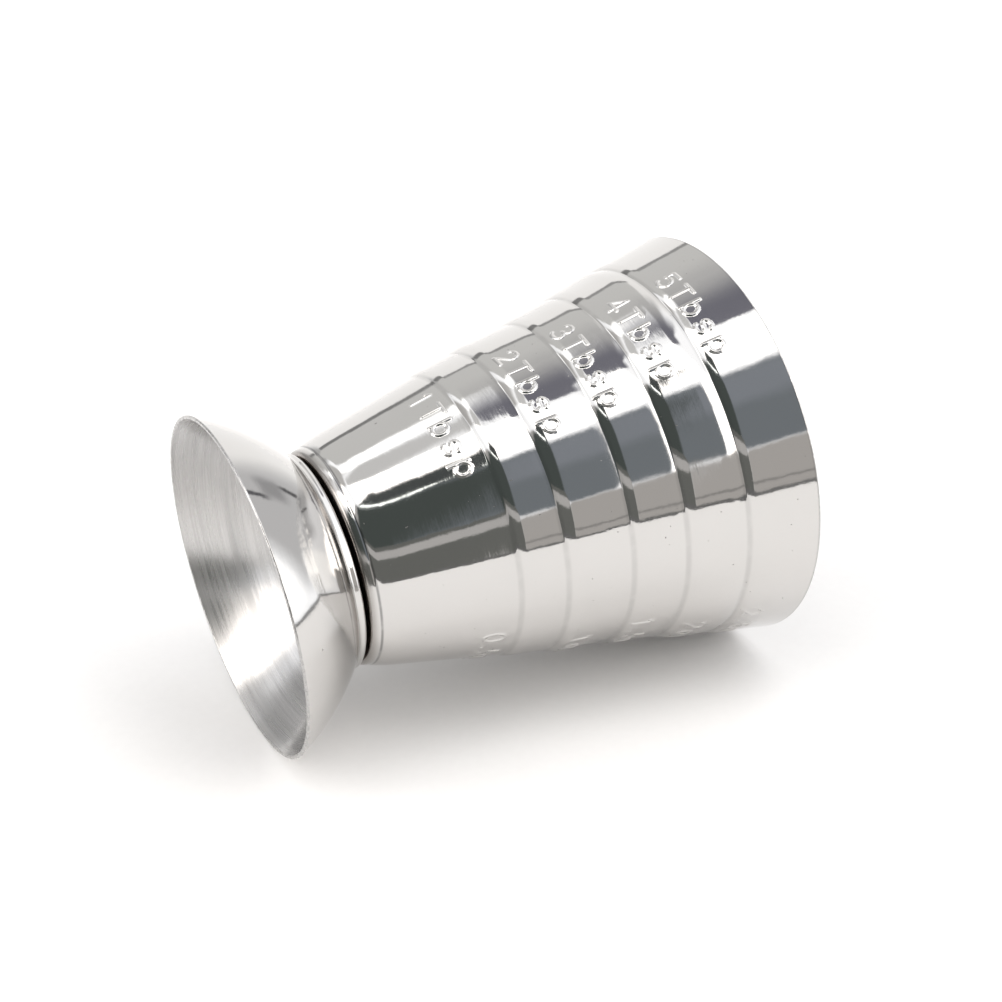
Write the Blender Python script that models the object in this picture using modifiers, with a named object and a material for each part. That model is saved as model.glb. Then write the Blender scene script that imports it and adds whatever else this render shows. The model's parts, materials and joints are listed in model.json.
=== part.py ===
"""Bar jigger: a stepped measuring cup welded end to end onto a flared base bell.

It stands on the bell's rim. +Z is the axis of the cup, and the origin is the centre of the bell's rim, in the plane
that it stands on. Both shells are drawn from thin stainless steel sheet, and the flat end of each one meets the
other at a narrow seam, where four weld spots join them.
"""

import math

import bmesh
import bpy
from mathutils import Vector

MM = 0.001
TURN_STEPS = 56
ROUND_STEPS = 3

WALL = 0.5 * MM
HEIGHT = 68.5 * MM
MOUTH_RADIUS = 27.6 * MM

# The bell, from the rim that it stands on up to its closed end.
BELL_RIM_RADIUS = 22.5 * MM
BELL_BULGE_ANGLE = math.radians(22)
BELL_WAIST = (15.4 * MM, 9.5 * MM)
NECK_RADIUS = 14.3 * MM
NECK_FOOT = 10.5 * MM
BELL_END = 11.55 * MM
NECK_ROUND = 0.6 * MM
WAIST_ROUND = 0.7 * MM

# The cup, from its closed bottom up to its mouth.
SEAM = 0.7 * MM
CUP_BOTTOM = BELL_END + SEAM
CUP_FOOT_RADIUS = 14.1 * MM
CUP_FOOT_ROUND = 2.0 * MM

# Each ring is a crease pressed into the wall, named for the volume that the cup holds up to it. The wall leaves a
# crease steeply, eases over the shoulder's length into an even taper, and rolls upright just below the next one.
RINGS = {
    "one_tablespoon": {"radius": 18.85 * MM, "height": 30.3 * MM, "shoulder": 1.2 * MM},
    "one_and_a_half": {"radius": 20.2 * MM, "height": 36.2 * MM, "shoulder": 2.6 * MM},
    "two_tablespoons": {"radius": 21.8 * MM, "height": 44.6 * MM, "shoulder": 1.2 * MM},
    "three_tablespoons": {"radius": 23.4 * MM, "height": 51.5 * MM, "shoulder": 1.2 * MM},
    "four_tablespoons": {"radius": 25.3 * MM, "height": 59.3 * MM, "shoulder": 1.2 * MM},
}
SHOULDER_TAPER = 0.55
ROLL = 1.1 * MM
ROLL_TAPER = 0.0
EASE_STEPS = 2

WELD_SPOTS = 4
WELD_CIRCLE_RADIUS = 7.0 * MM
WELD_SPOT_RADIUS = 1.5 * MM
WELD_THICKNESS = 0.3 * MM
WELD_EDGE = 0.08 * MM
WELD_SEGMENTS = 16


def clear_scene():
    for thing in list(bpy.data.objects):
        bpy.data.objects.remove(thing, do_unlink=True)


def new_collection(name):
    collection = bpy.data.collections.new(name)
    bpy.context.scene.collection.children.link(collection)
    return collection


def steel(name, colour, roughness):
    material = bpy.data.materials.new(name)
    material.use_nodes = True
    shader = material.node_tree.nodes["Principled BSDF"]
    shader.inputs["Base Color"].default_value = (*colour, 1)
    shader.inputs["Metallic"].default_value = 1
    shader.inputs["Roughness"].default_value = roughness
    return material


def rounded(corners):
    """The outline through corners (radius, height, rounding), each corner replaced by an arc of its rounding."""
    points = [Vector(corners[0][:2])]
    for before, (x, z, rounding), after in zip(corners, corners[1:], corners[2:]):
        corner = Vector((x, z))
        inward = (Vector(before[:2]) - corner).normalized()
        outward = (Vector(after[:2]) - corner).normalized()
        half = inward.angle(outward) / 2
        middle = corner + (inward + outward).normalized() * rounding / math.sin(half)
        start = corner + inward * rounding / math.tan(half) - middle
        turn = start.angle_signed(corner + outward * rounding / math.tan(half) - middle)
        for step in range(ROUND_STEPS + 1):
            angle = -turn * step / ROUND_STEPS
            across = Vector((-start.y, start.x))
            points.append(middle + start * math.cos(angle) + across * math.sin(angle))
    points.append(Vector(corners[-1][:2]))
    return points


def inset(outline, depth):
    """The outline moved to its left by depth, with the first point kept on the axis and the last one level."""
    sides = [(b - a).normalized() for a, b in zip(outline, outline[1:])]
    normals = [Vector((-side.y, side.x)) for side in sides]
    moved = [outline[0] + normals[0] * depth]
    for point, before, after in zip(outline[1:], normals, normals[1:]):
        middle = (before + after).normalized()
        moved.append(point + middle * depth / middle.dot(before))
    last = outline[-1] + normals[-1] * depth
    moved.append(last + sides[-1] * (outline[-1].y - last.y) / sides[-1].y)
    return moved


def bell_outline():
    """The bell's outer side, from the axis at its closed end down to its rim, with the bowl as a shallow arc."""
    waist = Vector(BELL_WAIST)
    rim = Vector((BELL_RIM_RADIUS, 0))
    chord = rim - waist
    radius = chord.length / (2 * math.sin(BELL_BULGE_ANGLE / 2))
    across = Vector((chord.y, -chord.x)).normalized()
    middle = (waist + rim) / 2 + across * radius * math.cos(BELL_BULGE_ANGLE / 2)
    start = waist - middle
    bowl = []
    bowl_steps = 6
    for step in range(1, bowl_steps + 1):
        angle = BELL_BULGE_ANGLE * step / bowl_steps
        side = Vector((start.y, -start.x))
        bowl.append(middle + start * math.cos(angle) + side * math.sin(angle))
    corners = [
        (0, BELL_END, 0),
        (NECK_RADIUS, BELL_END, NECK_ROUND),
        (NECK_RADIUS, NECK_FOOT, WAIST_ROUND),
        (waist.x, waist.y, 0),
    ]
    return rounded(corners) + bowl


def eased(start, length, taper_before, taper_after):
    """Points after start, along a wall whose taper (radius gained per height) changes evenly over the length."""
    points = []
    for step in range(1, EASE_STEPS + 1):
        share = step / EASE_STEPS
        taper = taper_before + (taper_after - taper_before) * share / 2
        points.append(start + Vector((taper * length * share, length * share)))
    return points


def band(start, end, shoulder, roll):
    """The wall from one crease to the next, with the even taper that makes it meet the end."""
    rise = end.y - start.y
    eased_out = SHOULDER_TAPER * shoulder / 2 + ROLL_TAPER * roll / 2
    taper = (end.x - start.x - eased_out) / (rise - shoulder / 2 - roll / 2)
    points = eased(start, shoulder, SHOULDER_TAPER, taper)
    straight = rise - shoulder - roll
    points.append(points[-1] + Vector((taper * straight, straight)))
    if roll:
        points += eased(points[-1], roll, taper, ROLL_TAPER)
    return points


def cup_outline():
    """The cup's outer side, from the axis at its bottom out and up over the creases to its mouth."""
    creases = [Vector((ring["radius"], ring["height"])) for ring in RINGS.values()]
    shoulders = [ring["shoulder"] for ring in RINGS.values()]
    foot = (CUP_FOOT_RADIUS, CUP_BOTTOM, CUP_FOOT_ROUND)
    points = rounded([(0, CUP_BOTTOM, 0), foot, (*creases[0], 0)])
    for start, end, shoulder in zip(creases, creases[1:], shoulders):
        points += band(start, end, shoulder, ROLL)
    points += band(creases[-1], Vector((MOUTH_RADIUS, HEIGHT)), shoulders[-1], 0)
    return points


def turned(name, outline, material, collection):
    """A solid of revolution about Z from an outline that runs down its outer side."""
    mesh = bpy.data.meshes.new(name)
    edges = [(index, index + 1) for index in range(len(outline) - 1)]
    mesh.from_pydata([(point.x, 0, point.y) for point in outline], edges, [])
    piece = bpy.data.objects.new(name, mesh)
    collection.objects.link(piece)
    screw = piece.modifiers.new("turn", "SCREW")
    screw.axis = "Z"
    screw.angle = 2 * math.pi
    screw.steps = TURN_STEPS
    screw.render_steps = TURN_STEPS
    screw.use_merge_vertices = True
    screw.merge_threshold = 0.01 * MM
    screw.use_smooth_shade = True
    mesh.materials.append(material)
    return piece


def weld_spot(index, material, collection):
    """One flattened nugget of weld metal between the two flat ends."""
    mesh = bpy.data.meshes.new(f"weld_spot_{index}")
    form = bmesh.new()
    bmesh.ops.create_cone(
        form,
        cap_ends=True,
        segments=WELD_SEGMENTS,
        radius1=WELD_SPOT_RADIUS,
        radius2=WELD_SPOT_RADIUS,
        depth=WELD_THICKNESS,
    )
    form.to_mesh(mesh)
    form.free()
    mesh.shade_smooth()
    mesh.set_sharp_from_angle(angle=math.radians(40))
    mesh.materials.append(material)
    spot = bpy.data.objects.new(f"weld_spot_{index}", mesh)
    collection.objects.link(spot)
    turn = 2 * math.pi * (index - 0.5) / WELD_SPOTS
    spot.location = (
        WELD_CIRCLE_RADIUS * math.cos(turn),
        WELD_CIRCLE_RADIUS * math.sin(turn),
        BELL_END + SEAM / 2,
    )
    edge = spot.modifiers.new("edge", "BEVEL")
    edge.width = WELD_EDGE
    edge.segments = 2
    edge.limit_method = "ANGLE"
    return spot


def main():
    clear_scene()
    collection = new_collection("bar_jigger")
    polished = steel("polished_steel", (0.78, 0.77, 0.75), 0.06)
    satin = steel("satin_steel", (0.72, 0.71, 0.69), 0.28)
    weld = steel("weld_metal", (0.42, 0.39, 0.36), 0.5)

    cup = cup_outline()
    cup_loop = inset(cup, WALL) + cup[::-1]
    turned("measuring_cup", cup_loop, polished, collection)

    bell = bell_outline()
    bell_loop = bell + inset(bell, -WALL)[::-1]
    turned("base_bell", bell_loop, satin, collection)

    for index in range(1, WELD_SPOTS + 1):
        weld_spot(index, weld, collection)


main()
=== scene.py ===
"""Bar jigger: the looks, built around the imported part.

The jigger stands on its bell in the part's own frame, with +Z as its axis. The scene shows it lying on
its side, so the floor that it lies on is a plane that touches the rims of the bell and of the cup, and the
camera is turned with that floor. A second, level floor is under the bell for cameras that see it standing.
"""

import json
import math

import bpy
import numpy as np
from mathutils import Matrix, Vector

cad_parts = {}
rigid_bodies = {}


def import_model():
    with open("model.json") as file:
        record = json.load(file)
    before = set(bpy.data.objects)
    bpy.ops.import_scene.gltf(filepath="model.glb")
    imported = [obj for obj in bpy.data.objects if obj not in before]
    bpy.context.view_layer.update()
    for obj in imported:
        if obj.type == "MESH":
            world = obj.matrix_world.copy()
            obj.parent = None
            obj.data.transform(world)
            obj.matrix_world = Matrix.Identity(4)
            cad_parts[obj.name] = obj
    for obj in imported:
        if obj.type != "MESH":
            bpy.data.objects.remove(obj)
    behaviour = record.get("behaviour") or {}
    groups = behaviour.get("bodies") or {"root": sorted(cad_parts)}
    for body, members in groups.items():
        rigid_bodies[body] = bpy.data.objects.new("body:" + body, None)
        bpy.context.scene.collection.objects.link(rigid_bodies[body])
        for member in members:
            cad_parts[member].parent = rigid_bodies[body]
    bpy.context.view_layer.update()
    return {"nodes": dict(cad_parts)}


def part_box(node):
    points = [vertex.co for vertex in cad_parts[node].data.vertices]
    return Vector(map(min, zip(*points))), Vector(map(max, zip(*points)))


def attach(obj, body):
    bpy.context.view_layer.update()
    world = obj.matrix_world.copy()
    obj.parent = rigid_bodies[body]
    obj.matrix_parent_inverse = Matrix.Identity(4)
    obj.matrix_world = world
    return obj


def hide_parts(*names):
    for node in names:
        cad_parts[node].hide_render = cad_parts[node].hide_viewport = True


for thing in list(bpy.data.objects):
    bpy.data.objects.remove(thing)
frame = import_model()

MM = 0.001

# The shells' own sizes, from the frame. The cup's bottom is set a little lower, which narrows the seam.
CUP_LOW, CUP_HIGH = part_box("measuring_cup")
_, BELL_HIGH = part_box("base_bell")
MOUTH_RADIUS, MOUTH_HEIGHT = CUP_HIGH.x, CUP_HIGH.z
SEAM_NARROWING = 0.25 * MM
CUP_BOTTOM = CUP_LOW.z - SEAM_NARROWING
RIM_RADIUS, BELL_END = BELL_HIGH.x, BELL_HIGH.z
WALL = 0.5 * MM
EDGE_ROUND = 0.18 * MM

# The cup's wall is given by its taper, the radius it gains per height, which changes evenly between knots. At
# its foot is a rounded bead with a groove over it, as heights over the bottom, each with the taper there.
FOOT_RADIUS = 14.02 * MM
FOOT_ROUND = 0.9 * MM
FOOT_TAPER = 0.36
FOOT_BEAD = ((0.9 * MM, 0.36), (1.25 * MM, 0.08), (1.42 * MM, 0.62), (2.2 * MM, 0.34))
FOOT_GROOVE = 1.36 * MM
FOOT_EASE = 4.6 * MM
# Under each ring the wall rolls towards upright, to the lip's taper; over it is a steep shoulder that eases.
RINGS = (
    {"radius": 18.85 * MM, "height": 30.3 * MM, "shoulder": 1.2 * MM, "roll": 0.0, "lip": 0.0},
    {"radius": 20.2 * MM, "height": 36.2 * MM, "shoulder": 1.8 * MM, "roll": 1.1 * MM, "lip": 0.12},
    {"radius": 21.8 * MM, "height": 44.6 * MM, "shoulder": 1.2 * MM, "roll": 1.2 * MM, "lip": 0.1},
    {"radius": 23.4 * MM, "height": 51.5 * MM, "shoulder": 1.4 * MM, "roll": 1.4 * MM, "lip": 0.08},
    {"radius": 25.3 * MM, "height": 59.3 * MM, "shoulder": 1.2 * MM, "roll": 2.3 * MM, "lip": -0.04},
)
SHOULDER_TAPER = 0.55
CREASE = 0.22 * MM

# The bell, from its closed end down to its rim.
NECK_RADIUS = 14.3 * MM
NECK_ROUND = 0.6 * MM
WAIST = (15.4 * MM, 9.5 * MM)
WAIST_ROUND = 0.7 * MM
BELL_BULGE_ANGLE = math.radians(22)

# The raised marks: three columns, each with a mark for every whole tablespoon.
MARK_COLUMNS = {
    -90: ("1Tbsp", "2Tbsp", "3Tbsp", "4Tbsp", "5Tbsp"),
    26: ("0.5oz", "1oz", "1.5oz", "2oz", "2.5oz"),
    150: ("15ml", "30ml", "45ml", "60ml", "75ml"),
}
MARK_HEIGHTS = tuple(height * MM for height in (26.0, 37.8, 45.6, 53.3, 60.5))
CAP_HEIGHT = 2.75 * MM
DESCENT = 0.12 * CAP_HEIGHT
LETTER_PITCH = 3.15 * MM
DOT_PITCH = 1.9 * MM
STROKE_REACH = 0.31 * MM
STROKE_RISE = 0.14 * MM
STROKE_TURN = 15

# The meshes: points round the axis, the grid that the marks need, rows up the wall, and angles on arcs.
COARSE_COLUMNS = 160
FINE_STEP = 0.15 * MM
ROW_STEP = 1.5 * MM
LONG_STRETCH = 3 * MM
ROWS_PER_STRETCH = 6
ROW_MARGIN = 1 * MM
FIRST_ROW_GAP = 0.3 * MM
LEAST_ROW_GAP = 0.02 * MM
MARK_CLEARANCE = 0.1 * MM
SLOPE_REACH = 0.012 * MM
ANGLE_DIGITS = 7
LEAST_ANGLE_GAP = 0.0006
TINY = 1e-9
ARC_STEP = math.radians(5)
EDGE_ARC_STEP = math.radians(20)
BOWL_ARC_STEP = math.radians(1.2)


# ---------------------------------------------------------------- outlines
# An outline is a list of (radius, height, normal's radius part, normal's height part), from the axis out.


def knotted_wall(knots, first_radius):
    """Functions for the radius and the taper at a height, from knots (height, taper)."""
    heights = np.array([height for height, _ in knots])
    tapers = np.array([taper for _, taper in knots])
    gains = (tapers[1:] + tapers[:-1]) / 2 * np.diff(heights)
    radii = first_radius + np.concatenate([[0], np.cumsum(gains)])

    def taper_at(height):
        return np.interp(height, heights, tapers)

    def radius_at(height):
        index = np.clip(np.searchsorted(heights, height) - 1, 0, len(heights) - 2)
        past = height - heights[index]
        return radii[index] + (tapers[index] + taper_at(height)) / 2 * past

    return radius_at, taper_at


def cup_wall():
    """The cup's wall as radius and taper functions, with a crease at each ring, and where its foot ends."""
    first = RINGS[0]
    foot = [(0.0, FOOT_TAPER), *FOOT_BEAD]
    radius = FOOT_RADIUS + sum((b[0] - a[0]) * (a[1] + b[1]) / 2 for a, b in zip(foot, foot[1:]))
    (bead_top, bead_taper), rise = foot[-1], first["height"] - CUP_BOTTOM
    easing = (FOOT_EASE - bead_top) / 2
    straight = (first["radius"] - radius - bead_taper * easing) / (rise - FOOT_EASE + easing)
    knots = [(CUP_BOTTOM + height, taper) for height, taper in (*foot, (FOOT_EASE, straight))]
    knots.append((first["height"] - CREASE, straight))
    mouth = {"radius": MOUTH_RADIUS, "height": MOUTH_HEIGHT, "roll": 0.0, "lip": 0.0}
    for ring, above in zip(RINGS, (*RINGS[1:], mouth)):
        half, shoulder, roll = CREASE / 2, ring["shoulder"], above["roll"]
        start, end = ring["height"] + half, above["height"] - (half if roll else 0)
        gain = above["radius"] - ring["radius"] - SHOULDER_TAPER * half - (above["lip"] * half if roll else 0)
        eased = SHOULDER_TAPER * shoulder / 2 + above["lip"] * roll / 2
        taper = (gain - eased) / (end - start - shoulder / 2 - roll / 2)
        knots += [(start, SHOULDER_TAPER), (start + shoulder, taper), (end - roll, taper)]
        if roll:
            knots.append((end, above["lip"]))
    return knotted_wall(knots, FOOT_RADIUS), [height for height, _ in knots]


def arc(middle, radius, start, end, outward=1, step=ARC_STEP):
    """Outline points on an arc from start to end; outward is -1 where the sheet's face is on its inside."""
    count = max(2, math.ceil(abs(end - start) / step)) + 1
    return [
        (
            middle[0] + radius * math.cos(angle),
            middle[1] + radius * math.sin(angle),
            outward * math.cos(angle),
            outward * math.sin(angle),
        )
        for angle in np.linspace(start, end, count)
    ]


def cup_outer():
    """The outline of the cup's foot, the heights of its wall's rows, and its radius and taper by height."""
    (radius_at, taper_at), knots = cup_wall()
    middle_z = CUP_BOTTOM + FOOT_ROUND
    lean = math.atan(float(taper_at(middle_z)))
    middle_x = float(radius_at(middle_z)) - FOOT_ROUND / math.cos(lean)
    outline = [(0.0, CUP_BOTTOM, 0.0, -1.0), (middle_x * 0.5, CUP_BOTTOM, 0.0, -1.0)]
    outline += arc((middle_x, middle_z), FOOT_ROUND, -math.pi / 2, -lean)
    foot_top = outline[-1][1]
    heights = set(np.arange(foot_top + ROW_MARGIN, MOUTH_HEIGHT - ROW_MARGIN, ROW_STEP))
    for low, high in zip(knots, knots[1:]):
        if low > foot_top:
            heights |= set(np.linspace(low, high, 2 if high - low > LONG_STRETCH else ROWS_PER_STRETCH))
    lowest, highest = foot_top + FIRST_ROW_GAP, MOUTH_HEIGHT - 2 * EDGE_ROUND
    heights = sorted(h for h in heights if lowest < h < highest)
    kept = [h for h, after in zip(heights, heights[1:] + [math.inf]) if after - h > LEAST_ROW_GAP]
    return outline, kept, radius_at, taper_at


def wall_row(height, radius_at, taper_at):
    """The outline point on the cup's outer wall at a height."""
    taper = float(taper_at(height))
    length = math.hypot(1, taper)
    return (float(radius_at(height)), float(height), 1 / length, -taper / length)


def inner_side(outline):
    """The sheet's other face: the outline moved in by the wall, in the opposite order."""
    return [
        (max(r - WALL * nr, 0.0), z - WALL * nz, -nr, -nz) for r, z, nr, nz in reversed(outline)
    ]


def cut_edge(outer_end, inner_start, level, upward):
    """The plain cut edge between the sheet's two faces, in a level plane, with its two corners eased."""
    points = []
    for r, z, nr, nz in (outer_end, inner_start):
        # The corner is where the face meets the level plane; the easing arc touches both.
        slope_r, slope_z = -nz, nr
        if slope_z * upward < 0:
            slope_r, slope_z = -slope_r, -slope_z
        corner = Vector((r + slope_r * (level - z) / slope_z, level))
        along_face = Vector((-slope_r, -slope_z))
        other = inner_start if (r, z) == outer_end[:2] else outer_end
        along_edge = Vector((math.copysign(1, other[0] - r), 0))
        half = along_face.angle(along_edge) / 2
        middle = corner + (along_face + along_edge).normalized() * EDGE_ROUND / math.sin(half)
        face_angle = math.atan2(nz, nr)
        edge_angle = math.pi / 2 * upward
        turn = (edge_angle - face_angle + math.pi) % (2 * math.pi) - math.pi
        bow = arc(middle, EDGE_ROUND, face_angle, face_angle + turn, step=EDGE_ARC_STEP)
        points += bow if (r, z) == outer_end[:2] else bow[::-1]
    return points


def fillet(before, corner, after, rounding, face):
    """Outline points that round a corner between two straight stretches; face is 1 outside the bend."""
    before, corner, after = Vector(before), Vector(corner), Vector(after)
    back, on = (before - corner).normalized(), (after - corner).normalized()
    half = back.angle(on) / 2
    middle = corner + (back + on).normalized() * rounding / math.sin(half)
    start = corner + back * rounding / math.tan(half) - middle
    end = corner + on * rounding / math.tan(half) - middle
    first = math.atan2(start.y, start.x)
    turn = (math.atan2(end.y, end.x) - first + math.pi) % (2 * math.pi) - math.pi
    return arc(middle, rounding, first, first + turn, outward=face)


def bell_outer():
    """The bell's outer face from the axis at its closed end down to just over its rim."""
    waist, rim = Vector(WAIST), Vector((RIM_RADIUS, 0))
    chord = rim - waist
    radius = chord.length / (2 * math.sin(BELL_BULGE_ANGLE / 2))
    across = Vector((chord.y, -chord.x)).normalized()
    middle = (waist + rim) / 2 + across * radius * math.cos(BELL_BULGE_ANGLE / 2)
    start = math.atan2(*reversed(waist - middle))
    end = math.atan2(*reversed(rim - middle))
    bowl = arc(middle, radius, start, end, step=BOWL_ARC_STEP)
    tangent = Vector((-math.sin(start), math.cos(start)))
    if tangent.y < 0:
        tangent = -tangent
    meet = waist + tangent * (NECK_RADIUS - waist.x) / tangent.x
    outline = [(0.0, BELL_END, 0.0, 1.0), (NECK_RADIUS * 0.5, BELL_END, 0.0, 1.0)]
    neck_top = (NECK_RADIUS, BELL_END)
    outline += fillet((0, BELL_END), neck_top, meet, NECK_ROUND, 1)
    outline += fillet(neck_top, meet, waist, WAIST_ROUND, -1)
    return outline + [point for point in bowl if point[1] > 2 * EDGE_ROUND]


# ---------------------------------------------------------------- marks


def curve(x, y, across, up, start, end):
    """Points on an elliptical stroke, with its angles in degrees."""
    angles = np.radians(np.linspace(start, end, 3 + int(abs(end - start) / STROKE_TURN)))
    return [(x + across * math.cos(a), y + up * math.sin(a)) for a in angles]


# Each letter is a few pen strokes, in a box one unit high that stands on its base line.
STROKES = {
    "0": [curve(0, 0.5, 0.31, 0.5, 0, 360)],
    "1": [[(-0.2, 0.78), (0.02, 1), (0.02, 0)]],
    "2": [curve(0, 0.7, 0.31, 0.3, 165, -38) + [(-0.33, 0), (0.35, 0)]],
    "3": [curve(-0.02, 0.75, 0.28, 0.25, 155, -90) + curve(-0.02, 0.26, 0.33, 0.26, 85, -155)],
    "4": [[(0.15, 0), (0.15, 1), (-0.35, 0.28), (0.37, 0.28)]],
    "5": [[(0.28, 1), (-0.24, 1), (-0.28, 0.55)] + curve(-0.01, 0.33, 0.33, 0.33, 130, -145)],
    "6": [curve(0, 0.32, 0.32, 0.32, 0, 360), curve(0.3, 0.34, 0.62, 0.66, 100, 178)],
    "7": [[(-0.3, 1), (0.33, 1), (-0.08, 0)]],
    ".": [[(0, 0.04), (0.01, 0.04)]],
    "T": [[(-0.35, 1), (0.35, 1)], [(0, 1), (0, 0)]],
    "b": [[(-0.31, 1), (-0.31, 0.0)], curve(0, 0.36, 0.31, 0.35, 0, 360)],
    "s": [curve(0, 0.57, 0.27, 0.18, 15, 270) + curve(0, 0.2, 0.28, 0.19, 90, -165)],
    "p": [[(-0.31, 0.8), (-0.31, -0.12)], curve(0, 0.44, 0.31, 0.35, 0, 360)],
    "o": [curve(0, 0.38, 0.31, 0.37, 0, 360)],
    "z": [[(-0.27, 0.74), (0.27, 0.74), (-0.27, 0.02), (0.29, 0.02)]],
    "m": [
        [(-0.42, 0.76), (-0.42, 0)],
        curve(-0.21, 0.54, 0.21, 0.22, 180, 0) + [(0, 0)],
        curve(0.21, 0.54, 0.21, 0.22, 180, 0) + [(0.42, 0)],
    ],
    "l": [[(0, 1), (0, 0)]],
}


def word_segments(word):
    """The word's pen strokes as line segments in metres, centred along the base line, and half its width."""
    pitches = [DOT_PITCH if letter == "." else LETTER_PITCH for letter in word]
    ends = np.cumsum(pitches)
    segments = []
    for letter, end, pitch in zip(word, ends, pitches):
        middle = end - pitch / 2 - ends[-1] / 2
        for stroke in STROKES[letter]:
            points = np.array(stroke) * CAP_HEIGHT + (middle, 0)
            segments += [pair for pair in zip(points, points[1:]) if np.ptp(pair, axis=0).any()]
    return np.array(segments), ends[-1] / 2


def rise_of(points, segments):
    """How far the sheet is pressed out at each point, a rounded ridge along the pen strokes."""
    nearest = np.full(len(points), np.inf)
    for start, end in segments:
        side = end - start
        share = np.clip(((points - start) @ side) / (side @ side), 0, 1)
        nearest = np.minimum(nearest, np.linalg.norm(points - start - share[:, None] * side, axis=1))
    across = np.clip(nearest / STROKE_REACH, 0, 1)
    return STROKE_RISE * (1 - across**2) ** 2


# ---------------------------------------------------------------- turned shells


def turn_points(angles, row):
    """Places and normals where one outline point is turned round the axis to the angles."""
    r, z, nr, nz = row
    cosines, sines = np.cos(angles), np.sin(angles)
    places = np.stack([r * cosines, r * sines, np.full_like(angles, z)], 1)
    normals = np.stack([nr * cosines, nr * sines, np.full_like(angles, nz)], 1)
    return places, normals


def marked_points(angles, height, wall, words, base):
    """Places and normals on the cup's outer wall at one height, with the marks pressed out of it."""

    def place(turned, level):
        row = wall_row(level, *wall)
        spots, normals = turn_points(turned, row)
        out = np.zeros(len(turned))
        middle_radius = float(wall[0](base + CAP_HEIGHT / 2))
        for azimuth, (segments, half) in words.items():
            away = (turned - azimuth + math.pi) % (2 * math.pi) - math.pi
            near = np.abs(away) * middle_radius < half + STROKE_REACH
            if near.any():
                drawn = np.stack([away[near] * middle_radius, np.full(near.sum(), level - base)], 1)
                out[near] = rise_of(drawn, segments)
        return spots + normals * out[:, None]

    turn = SLOPE_REACH / wall_row(height, *wall)[0]
    sideways = place(angles + turn, height) - place(angles - turn, height)
    upwards = place(angles, height + SLOPE_REACH) - place(angles, height - SLOPE_REACH)
    normals = np.cross(sideways, upwards)
    return place(angles, height), normals / np.linalg.norm(normals, axis=1)[:, None]


def shell(name, rows):
    """A closed turned mesh. Each row is (angles, places, normals, material index); one point is a pole."""
    places = np.concatenate([row[1] for row in rows])
    normals = np.concatenate([row[2] for row in rows])
    firsts = np.cumsum([0] + [len(row[1]) for row in rows])
    faces, slots = [], []
    for index, (low, high) in enumerate(zip(rows, rows[1:])):
        made = bridge(low[0], high[0], firsts[index], firsts[index + 1])
        faces += made
        slots += [min(low[3], high[3])] * len(made)
    mesh = bpy.data.meshes.new(name)
    mesh.from_pydata(places.tolist(), [], faces)
    mesh.polygons.foreach_set("material_index", slots)
    mesh.polygons.foreach_set("use_smooth", [True] * len(faces))
    mesh.update()
    mesh.normals_split_custom_set_from_vertices(normals.tolist())
    piece = bpy.data.objects.new(name, mesh)
    bpy.context.scene.collection.objects.link(piece)
    return piece


def bridge(low, high, low_first, high_first):
    """Faces between two rings of points; one ring's angles may be a finer set that holds the other's."""
    if len(low) == 1:
        count = len(high)
        return [(low_first, high_first + (i + 1) % count, high_first + i) for i in range(count)]
    if len(high) == 1:
        count = len(low)
        return [(low_first + i, low_first + (i + 1) % count, high_first) for i in range(count)]
    coarse, fine = (low, high) if len(low) <= len(high) else (high, low)
    stops = [*np.searchsorted(fine, coarse - TINY), len(fine)]
    faces = []
    for i in range(len(coarse)):
        beside = [j % len(fine) for j in range(stops[i], stops[i + 1] + 1)]
        pair = [i, (i + 1) % len(coarse)]
        below, above = (pair, beside) if coarse is low else (beside, pair)
        faces.append((*(low_first + j for j in below), *(high_first + j for j in reversed(above))))
    return faces


COARSE = np.round(np.linspace(0, 2 * math.pi, COARSE_COLUMNS, endpoint=False), ANGLE_DIGITS)
POLE = np.zeros(1)
OUTSIDE, INSIDE, CUT = 0, 1, 2


def plain_rows(outline, slot):
    """Rows without marks, with a single point where the outline is on the axis."""
    rows = []
    for row in outline:
        angles = POLE if row[0] < TINY else COARSE
        rows.append((angles, *turn_points(angles, row), slot))
    return rows


def marks_at(index):
    """The words of one ring of marks by azimuth in radians, and the fine angles that they need."""
    words = {}
    fine = [COARSE]
    for azimuth, column in MARK_COLUMNS.items():
        turn = math.radians(azimuth) % (2 * math.pi)
        segments, half = word_segments(column[index])
        words[turn] = (segments, half)
        reach = half + STROKE_REACH
        radius = RINGS[index]["radius"]
        steps = int(2 * reach / FINE_STEP)
        fine.append((turn + np.linspace(-reach, reach, steps) / radius) % (2 * math.pi))
    angles = np.unique(np.round(np.concatenate(fine), ANGLE_DIGITS))
    apart = np.append(np.diff(angles) > LEAST_ANGLE_GAP, True)
    return words, angles[apart | np.isin(angles, COARSE)]


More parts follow.
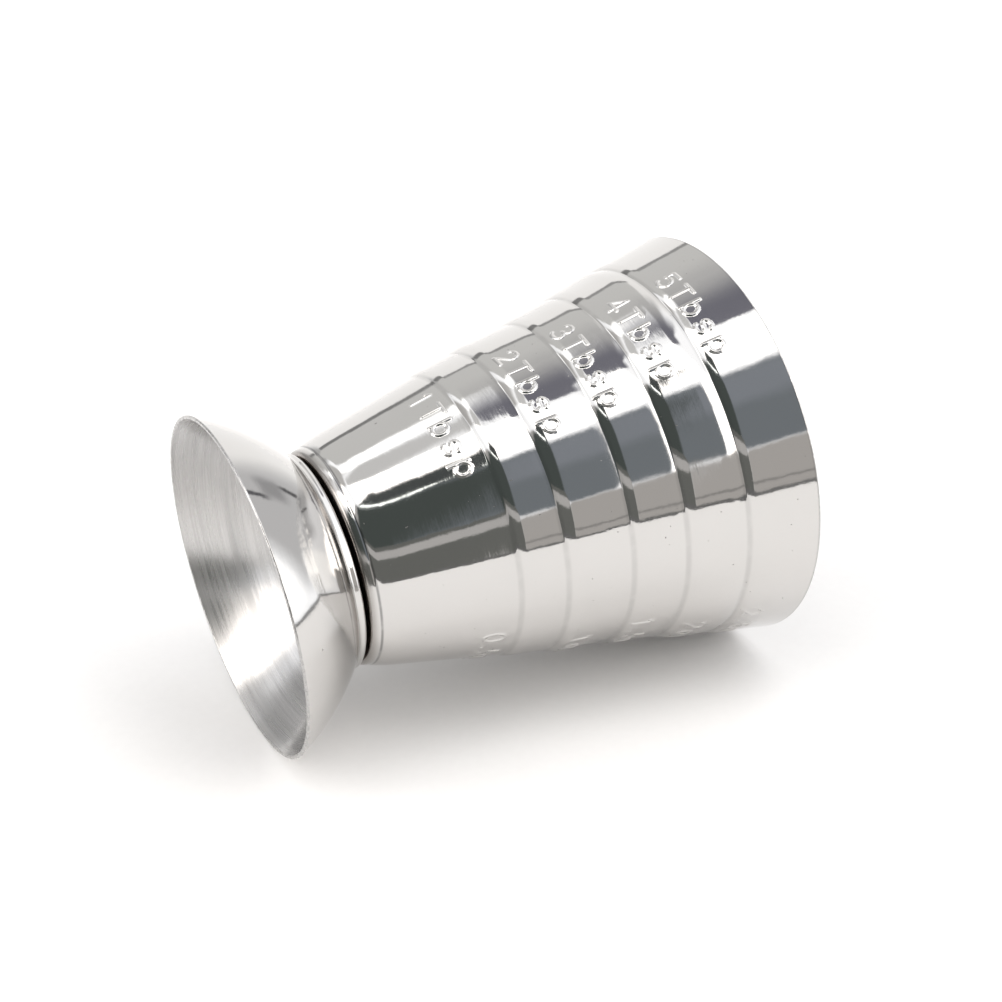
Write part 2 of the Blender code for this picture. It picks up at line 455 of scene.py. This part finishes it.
def build_cup():
    foot, heights, radius_at, taper_at = cup_outer()
    wall = (radius_at, taper_at)
    plain = [wall_row(height, *wall) for height in heights]
    rows = plain_rows(foot, OUTSIDE)
    fine_rings = []
    for index, base in enumerate(MARK_HEIGHTS):
        low, high = base - DESCENT - STROKE_REACH, base + CAP_HEIGHT + STROKE_REACH
        levels = np.linspace(low, high, int((high - low) / FINE_STEP) + 1)
        words, angles = marks_at(index)
        fine_rings.append((low, high, base, levels, words, angles))
    outer = []
    for row in plain:
        clear = MARK_CLEARANCE
        if not any(low - clear < row[1] < high + clear for low, high, *_ in fine_rings):
            outer.append((row[1], (COARSE, *turn_points(COARSE, row), OUTSIDE)))
    for low, high, base, levels, words, angles in fine_rings:
        for level in levels:
            outer.append((level, (angles, *marked_points(angles, level, wall, words, base), OUTSIDE)))
    rows += [row for _, row in sorted(outer, key=lambda item: item[0])]
    inner = inner_side(foot + plain)
    rim = cut_edge(plain[-1], inner[0], MOUTH_HEIGHT, 1)
    rows += plain_rows(rim, CUT) + plain_rows(inner, INSIDE)
    return shell("cup_shell", rows)


def build_bell():
    outer = bell_outer()
    inner = inner_side(outer)
    rim = cut_edge(outer[-1], inner[0], 0.0, -1)
    rows = plain_rows(outer, OUTSIDE) + plain_rows(rim, CUT) + plain_rows(inner, INSIDE)
    return shell("bell_shell", rows[::-1])


# ---------------------------------------------------------------- materials


def add(tree, kind, output=0, values=(), **settings):
    """Adds a shader node and gives one of its outputs; a value is a number, a colour or a node's output."""
    made = tree.nodes.new("ShaderNode" + kind)
    for name, setting in settings.items():
        setattr(made, name, setting)
    for key, value in dict(values).items():
        if isinstance(value, bpy.types.NodeSocket):
            tree.links.new(value, made.inputs[key])
        else:
            made.inputs[key].default_value = value
    return made.outputs[output]


def noise(tree, position, scale, detail=2.0, seed=0.0):
    """Noise from 0 to 1; scale is per metre, a number or one for each axis."""
    scales = scale if isinstance(scale, tuple) else (scale,) * 3
    values = {0: position, 1: scales, 2: (seed,) * 3}
    moved = add(tree, "VectorMath", values=values, operation="MULTIPLY_ADD")
    return add(tree, "TexNoise", values={"Vector": moved, "Scale": 1.0, "Detail": detail})


def ramp(tree, value, start, end, low=0.0, high=1.0):
    """low at start and high at end, with a soft turn at both."""
    values = {"Value": value, "From Min": start, "From Max": end, "To Min": low, "To Max": high}
    return add(tree, "MapRange", values=values, interpolation_type="SMOOTHSTEP")


def math_node(tree, operation, *values):
    """The result of a Math node on the values."""
    return add(tree, "Math", values=dict(enumerate(values)), operation=operation)


def mix_colour(tree, share, first, second):
    """The first colour where share is 0, the second where it is 1."""
    values = {"Factor": share, "A": first, "B": second}
    return add(tree, "Mix", output="Result", values=values, data_type="RGBA")


def new_material(name):
    """A material with a bare Principled shader: its tree, its shader and the place on the piece in metres."""
    material = bpy.data.materials.new(name)
    material.use_nodes = True
    tree = material.node_tree
    position = add(tree, "TexCoord", output="Object")
    return material, tree, tree.nodes["Principled BSDF"], position


def bumps(tree, shader, layers):
    """Stacks bump layers, each a height and its depth in metres, onto the shader's normal."""
    normal = None
    for height, depth in layers:
        values = {"Height": height, "Distance": depth, "Strength": 1.0}
        if normal:
            values["Normal"] = normal
        normal = add(tree, "Bump", values=values)
    tree.links.new(normal, shader.inputs["Normal"])


def seam_shade_and_grime(tree, position):
    """Painted shade with some dirt: 1 in the narrow seam between the two shells, less as a softer painted
    shade on the cup's bead beside it, 0 elsewhere.
    """
    height = add(tree, "SeparateXYZ", output="Z", values={0: position})
    off_seam = math_node(tree, "ABSOLUTE", math_node(tree, "SUBTRACT", height, (BELL_END + CUP_BOTTOM) / 2))
    patchy = noise(tree, position, 900.0, 3.0)
    reach = math_node(tree, "MULTIPLY_ADD", patchy, 0.1 * MM, 0.18 * MM)
    past = math_node(tree, "DIVIDE", off_seam, reach)
    # A softer painted shade on the cup's bead, fading away from the seam.
    bead_shade = ramp(tree, off_seam, 0.2 * MM, 1.5 * MM, 0.62, 0.0)
    above = math_node(tree, "GREATER_THAN", height, CUP_BOTTOM)
    # Painted shade with some dirt, filling the seam itself.
    deep = ramp(tree, past, 0.95, 1.35, 1.0, 0.0)
    return math_node(tree, "MAXIMUM", deep, math_node(tree, "MULTIPLY", bead_shade, above))


def crease_shade(tree, position):
    """Painted shade: up to 1 along darkened lines at the rings' creases, over the foot's bead and at the
    mouth.
    """
    height = add(tree, "SeparateXYZ", output="Z", values={0: position})
    # Each line of painted shade: its height, how far it reaches and how dark it gets.
    lines = [(ring["height"], 0.55 * MM, 0.28) for ring in RINGS]
    lines += [(CUP_BOTTOM + FOOT_GROOVE, 0.24 * MM, 1.0), (MOUTH_HEIGHT, 0.45 * MM, 0.7)]
    share = 0.0
    for level, reach, strength in lines:
        off_line = math_node(tree, "ABSOLUTE", math_node(tree, "SUBTRACT", height, level))
        share = math_node(tree, "MAXIMUM", share, ramp(tree, off_line, 0.2 * reach, reach, strength, 0.0))
    patchy = noise(tree, position, 500.0, 2.0, 14.0)
    return math_node(tree, "MULTIPLY", share, ramp(tree, patchy, 0.2, 0.6, 0.5, 1.0))


# The colours of the metal, clean and marked, with painted shade for its creases and painted shade and dirt
# for its seam, and of the paper.
POLISHED_LIGHT, POLISHED_DARK = (0.625, 0.61, 0.595, 1), (0.59, 0.58, 0.565, 1)
# Painted shade for the lines at the creases, the foot's groove and the mouth.
CREASE_SHADE_COLOUR = (0.3, 0.295, 0.29, 1)
PIT_COLOUR = (0.3, 0.29, 0.28, 1)
# Painted shade with some dirt, for the seam and the bead beside it.
GRIME_AND_SHADE_COLOUR = (0.13, 0.1, 0.08, 1)
BRUSHED_LIGHT, BRUSHED_DARK = (0.64, 0.63, 0.62, 1), (0.4, 0.39, 0.385, 1)
STREAK_COLOUR = (0.36, 0.355, 0.35, 1)
WORN_COLOUR = (0.6, 0.59, 0.58, 1)
CUT_LIGHT, CUT_DARK = (0.6, 0.59, 0.58, 1), (0.34, 0.335, 0.33, 1)
WELD_LIGHT, WELD_DARK = (0.42, 0.39, 0.36, 1), (0.26, 0.21, 0.18, 1)
PAPER_LIGHT, PAPER_DARK = (0.9, 0.898, 0.898, 1), (0.87, 0.868, 0.868, 1)


def polished_steel():
    """Mirror polish: faint turning lines, a slightly uneven sheet, handling haze and a few fine pits."""
    material, tree, shader, position = new_material("polished_steel_look")
    haze = noise(tree, position, 70.0, 4.0)
    lines = noise(tree, position, (50.0, 50.0, 4200.0), 2.0, 3.0)
    uneven = noise(tree, position, 260.0, 1.0, 7.0)
    peel = noise(tree, position, 1300.0, 2.0, 11.0)
    pits = ramp(tree, noise(tree, position, 2600.0, 0.0, 5.0), 0.86, 0.89)
    # Painted shade with some dirt darkens the seam, and a softer painted shade darkens the bead.
    grime_and_shade = seam_shade_and_grime(tree, position)
    clean = mix_colour(tree, haze, POLISHED_LIGHT, POLISHED_DARK)
    # Painted shade along the rings' creases, the foot's groove and the mouth.
    crease_shaded = mix_colour(tree, crease_shade(tree, position), clean, CREASE_SHADE_COLOUR)
    pitted = mix_colour(tree, pits, crease_shaded, PIT_COLOUR)
    tree.links.new(mix_colour(tree, grime_and_shade, pitted, GRIME_AND_SHADE_COLOUR), shader.inputs["Base Color"])
    smooth = ramp(tree, haze, 0.35, 0.75, 0.035, 0.075)
    lined = math_node(tree, "MULTIPLY_ADD", lines, 0.03, smooth)
    worn = math_node(tree, "MULTIPLY_ADD", math_node(tree, "MAXIMUM", grime_and_shade, pits), 0.3, lined)
    tree.links.new(worn, shader.inputs["Roughness"])
    shader.inputs["Metallic"].default_value = 1.0
    bumps(tree, shader, [(uneven, 0.02 * MM), (peel, 0.0035 * MM), (lines, 0.0015 * MM)])
    return material


def satin_steel():
    """The brushed inside of both shells, with lines that run round the axis."""
    material, tree, shader, position = new_material("satin_steel_look")
    haze = noise(tree, position, 90.0, 4.0, 2.0)
    fine = noise(tree, position, (90.0, 90.0, 9000.0), 3.0, 4.0)
    coarse = noise(tree, position, (40.0, 40.0, 2400.0), 2.0, 9.0)
    mottle = noise(tree, position, 1500.0, 3.0, 1.0)
    brushed = mix_colour(tree, fine, BRUSHED_LIGHT, BRUSHED_DARK)
    bands = noise(tree, position, (25.0, 25.0, 620.0), 4.0, 13.0)
    streaked = mix_colour(tree, ramp(tree, bands, 0.42, 0.62, 0.0, 0.75), brushed, STREAK_COLOUR)
    worn = math_node(tree, "MULTIPLY", haze, 0.5)
    tree.links.new(mix_colour(tree, worn, streaked, WORN_COLOUR), shader.inputs["Base Color"])
    tree.links.new(ramp(tree, coarse, 0.3, 0.7, 0.22, 0.31), shader.inputs["Roughness"])
    shader.inputs["Metallic"].default_value = 1.0
    shader.inputs["Anisotropic"].default_value = 0.75
    shader.inputs["Anisotropic Rotation"].default_value = 0.25
    tangent = add(tree, "Tangent", direction_type="RADIAL", axis="Z")
    tree.links.new(tangent, shader.inputs["Tangent"])
    bumps(tree, shader, [(coarse, 0.004 * MM), (fine, 0.0025 * MM), (mottle, 0.003 * MM)])
    return material


def cut_edge_steel():
    """The sheet's cut edge: sheared, then lightly buffed, so it is grainy and catches the light in dashes."""
    material, tree, shader, position = new_material("cut_edge_look")
    grain = noise(tree, position, 1900.0, 3.0, 8.0)
    burr = noise(tree, position, 800.0, 1.0, 3.0)
    colour = mix_colour(tree, grain, CUT_LIGHT, CUT_DARK)
    tree.links.new(colour, shader.inputs["Base Color"])
    tree.links.new(ramp(tree, burr, 0.35, 0.65, 0.16, 0.34), shader.inputs["Roughness"])
    shader.inputs["Metallic"].default_value = 1.0
    bumps(tree, shader, [(burr, 0.12 * MM), (grain, 0.03 * MM)])
    return material


def weld_metal():
    """Dull, heat-tinted weld metal with a rough skin."""
    material, tree, shader, position = new_material("weld_metal_look")
    tint = noise(tree, position, 600.0, 4.0)
    skin = noise(tree, position, 4000.0, 4.0, 6.0)
    colour = mix_colour(tree, tint, WELD_LIGHT, WELD_DARK)
    tree.links.new(colour, shader.inputs["Base Color"])
    tree.links.new(ramp(tree, tint, 0.3, 0.7, 0.4, 0.6), shader.inputs["Roughness"])
    shader.inputs["Metallic"].default_value = 1.0
    bumps(tree, shader, [(skin, 0.01 * MM)])
    return material


def floor_paper():
    """Matt white paper that shows from its upper side only."""
    material, tree, shader, position = new_material("floor_paper")
    grain = noise(tree, position, 900.0, 3.0)
    colour = mix_colour(tree, grain, PAPER_LIGHT, PAPER_DARK)
    tree.links.new(colour, shader.inputs["Base Color"])
    shader.inputs["Roughness"].default_value = 1.0
    shader.inputs["Specular IOR Level"].default_value = 0.0
    under = add(tree, "NewGeometry", output="Backfacing")
    clear = add(tree, "BsdfTransparent")
    shown = add(tree, "MixShader", values={0: under, 1: shader.outputs[0], 2: clear})
    tree.links.new(shown, tree.nodes["Material Output"].inputs["Surface"])
    return material


# ---------------------------------------------------------------- pieces on the frame

cup = build_cup()
bell = build_bell()
for piece, node, slot in ((cup, "measuring_cup", "polished_steel"), (bell, "base_bell", "satin_steel")):
    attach(piece, "root")
    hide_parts(node)
polished, satin, cut, weld = polished_steel(), satin_steel(), cut_edge_steel(), weld_metal()
for piece in (cup, bell):
    for look in (polished, satin, cut):
        piece.data.materials.append(look)
for name, spot in frame["nodes"].items():
    if name.startswith("weld_spot"):
        spot.data.materials[0] = weld


# ---------------------------------------------------------------- studio
# The floor that the jigger lies on touches both rims on one side. Directions are told by the camera's turn on
# that floor: azimuth 0 is away from the camera and 90 to its right, in degrees.

LYING_SIDE = math.radians(70.66)
CAMERA_PLACE = (math.radians(-53.8), 244.3 * MM, -56.7 * MM)
AIM_HEIGHT = 37.25 * MM
LENS_MM = 71.75
FLOOR_GAP = 0.02 * MM
LYING_FLOOR_SIZE = (0.7, 0.215, 0.6, 0.25)
STANDING_FLOOR_SIZE = (1, 1, 1, 1)

lean = math.atan2(MOUTH_RADIUS - RIM_RADIUS, MOUTH_HEIGHT)
lying_way = Vector((math.cos(LYING_SIDE), math.sin(LYING_SIDE), 0))
up = Vector((0, 0, math.sin(lean))) - lying_way * math.cos(lean)
touch = lying_way * RIM_RADIUS
turn, reach, level = CAMERA_PLACE
camera_at = Vector((reach * math.cos(turn), reach * math.sin(turn), level))
aim = Vector((0, 0, AIM_HEIGHT))
forward = (aim - camera_at).normalized()
away = (forward - up * forward.dot(up)).normalized()
right = away.cross(up)

# Soft panels that the metal mirrors, each over the ones before it: the azimuths and elevations that it spans,
# how far its corners are rounded in both, the share of that rounding over which it fades, and its light.
PANELS = {
    "far_wall": dict(az=(326, 394), el=(-40, 56), corner=(20, 20), soft=1, light=(1.26, 1.25, 1.24)),
    "left_wall": dict(az=(284, 328), el=(-8, 38), corner=(14, 12), soft=1, light=(0.6, 0.6, 0.6)),
    "left_high": dict(az=(261, 301), el=(36, 63), corner=(8, 10), soft=0.8, light=(0.72, 0.71, 0.7)),
    "back_grey": dict(az=(311, 354), el=(24, 57.5), corner=(6, 6), soft=0.5, light=(0.82, 0.82, 0.81)),
    "back_dim": dict(az=(336, 366), el=(50, 84), corner=(12, 20), soft=1, light=(0.66, 0.66, 0.66)),
    "back_joint": dict(az=(325, 341), el=(19.5, 25), corner=(5, 2.6), soft=0.7, light=(0.3, 0.3, 0.3)),
    "back_line": dict(az=(340, 355), el=(23.5, 26.5), corner=(3, 1.5), soft=1, light=(0.42, 0.42, 0.42)),
    "back_window": dict(az=(298, 333), el=(57, 67.5), corner=(12, 6), soft=0.5, light=(2.2, 2.2, 2.2)),
    "navy_shade": dict(az=(322, 392), el=(68, 96), corner=(14, 24), soft=0.9, light=(0.24, 0.24, 0.285)),
    "navy_top": dict(az=(316, 432), el=(81, 99), corner=(20, 6), soft=0.9, light=(0.24, 0.24, 0.285)),
    "light_ceiling": dict(az=(262, 316), el=(67, 81), corner=(9, 6), soft=0.7, light=(0.85, 0.85, 0.85)),
    "softbox": dict(az=(104, 262), el=(64, 99), corner=(8, 6), soft=0.4, light=(3.0, 2.93, 2.86)),
    "softbox_rim": dict(az=(168, 208), el=(60, 73), corner=(5, 3.5), soft=0.8, light=(0.09, 0.1, 0.1)),
    "key": dict(az=(224, 266), el=(8, 54), corner=(12, 12), soft=0.6, light=(3.7, 3.55, 3.4)),
    "right_window": dict(az=(98, 138), el=(10, 60), corner=(12, 12), soft=0.6, light=(4.0, 3.85, 3.7)),
    "window_wall": dict(az=(139, 190), el=(19, 61.5), corner=(9, 8), soft=0.4, light=(0.235, 0.26, 0.285)),
    "window_top": dict(az=(134, 162), el=(44, 60.5), corner=(14, 8), soft=1, light=(0.31, 0.335, 0.375)),
    "shelf_end": dict(az=(204, 226), el=(14, 60), corner=(16, 14), soft=0.2, light=(0.62, 0.61, 0.6)),
    "room": dict(az=(163, 217), el=(22, 61), corner=(16, 9), soft=0.5, light=(0.09, 0.105, 0.1)),
    "lamp": dict(az=(176, 206), el=(61.4, 63.2), corner=(5, 0.9), soft=0.8, light=(2.6, 2.7, 2.6)),
    "door": dict(az=(108, 158), el=(-12, 19), corner=(14, 5), soft=0.4, light=(0.57, 0.55, 0.53)),
    "door_sill": dict(az=(116, 158), el=(-1, 0.4), corner=(4, 0.7), soft=1, light=(0.36, 0.35, 0.34)),
    "desk": dict(az=(157, 223), el=(-12, 26), corner=(12, 8), soft=0.12, light=(0.19, 0.195, 0.185)),
    "shelf": dict(az=(157, 226), el=(14.5, 22), corner=(10, 3.7), soft=0.4, light=(0.62, 0.61, 0.6)),
    "side_wall": dict(az=(24, 74), el=(0, 40), corner=(16, 12), soft=1, light=(0.74, 0.74, 0.75)),
    "frame_knot": dict(az=(32, 43), el=(17, 27), corner=(5.5, 5), soft=1, light=(0.45, 0.45, 0.46)),
    "frame_post": dict(az=(33.5, 36), el=(-2, 17), corner=(1.4, 4), soft=1, light=(0.1, 0.1, 0.105)),
    "frame_top": dict(az=(42.5, 45), el=(26, 39), corner=(1.4, 4), soft=1, light=(0.14, 0.14, 0.15)),
    "side_window": dict(az=(78, 100), el=(-2, 28), corner=(12, 8), soft=0.8, light=(2.0, 2.0, 2.0)),
    "paper_edge": dict(az=(40, 236), el=(-14, -5.2), corner=(4, 1.2), soft=0.8, light=(0.2, 0.2, 0.2)),
}
SURROUND = (1.6, 1.62, 1.66, 1)
PLAIN_WHITE = (1, 1, 1, 1)


def studio_world():
    """A pale surround with the panels; a camera that looks past the floor sees plain white."""
    world = bpy.data.worlds.new("studio")
    world.use_nodes = True
    tree = world.node_tree
    direction = add(tree, "TexCoord", output="Generated")
    along = [
        add(tree, "VectorMath", output="Value", values={0: direction, 1: axis}, operation="DOT_PRODUCT")
        for axis in (away, right, up)
    ]
    azimuth = math_node(tree, "DEGREES", math_node(tree, "ARCTAN2", along[1], along[0]))
    elevation = math_node(tree, "DEGREES", math_node(tree, "ARCSINE", along[2]))
    light = SURROUND
    for panel in PANELS.values():
        squares = []
        spans = (panel["az"], panel["el"])
        for angle, (low, high), corner in zip((azimuth, elevation), spans, panel["corner"]):
            off = math_node(tree, "SUBTRACT", angle, (low + high) / 2)
            round_off = math_node(tree, "ABSOLUTE", math_node(tree, "WRAP", off, 180.0, -180.0))
            straight = (high - low) / 2 + corner * (panel["soft"] / 2 - 1)
            past = math_node(tree, "DIVIDE", math_node(tree, "SUBTRACT", round_off, straight), corner)
            squares.append(math_node(tree, "POWER", math_node(tree, "MAXIMUM", past, 0.0), 2.0))
        round_corner = math_node(tree, "SQRT", math_node(tree, "ADD", *squares))
        inside = ramp(tree, round_corner, 1 - panel["soft"], 1.0, 1.0, 0.0)
        light = mix_colour(tree, inside, light, (*panel["light"], 1))
    seen = add(tree, "LightPath", output="Is Camera Ray")
    shown = mix_colour(tree, seen, light, PLAIN_WHITE)
    tree.links.new(shown, tree.nodes["Background"].inputs["Color"])
    bpy.context.scene.world = world


def floor(name, middle, normal, along, size):
    """A rectangle that faces normal; size is how far it goes to the back, front, left and right of middle."""
    side = along.cross(normal)
    back, front, left, right_side = size
    corners = [along * back - side * left, -along * front - side * left]
    corners += [-along * front + side * right_side, along * back + side * right_side]
    mesh = bpy.data.meshes.new(name)
    mesh.from_pydata([middle + corner for corner in corners], [], [(0, 1, 2, 3)])
    made = bpy.data.objects.new(name, mesh)
    bpy.context.scene.collection.objects.link(made)
    return made


studio_world()
paper = floor_paper()
level_up, level_away = Vector((0, 0, 1)), Vector((0, 1, 0))
lying_floor = floor("lying_floor", touch - up * FLOOR_GAP, up, away, LYING_FLOOR_SIZE)
standing_floor = floor(
    "standing_floor", -level_up * FLOOR_GAP, level_up, level_away, STANDING_FLOOR_SIZE
)
for ground in (lying_floor, standing_floor):
    ground.data.materials.append(paper)
standing_floor.visible_diffuse = False
standing_floor.visible_glossy = False
standing_floor.visible_shadow = False

camera = bpy.data.objects.new("camera", bpy.data.cameras.new("camera"))
bpy.context.scene.collection.objects.link(camera)
camera.data.lens = LENS_MM
camera.data.clip_start = 5 * MM
sideways = forward.cross(up).normalized()
turned = Matrix((sideways, sideways.cross(forward), -forward)).transposed()
camera.matrix_world = Matrix.Translation(camera_at) @ turned.to_4x4()
bpy.context.scene.camera = camera
bpy.context.scene.view_settings.view_transform = "Standard"
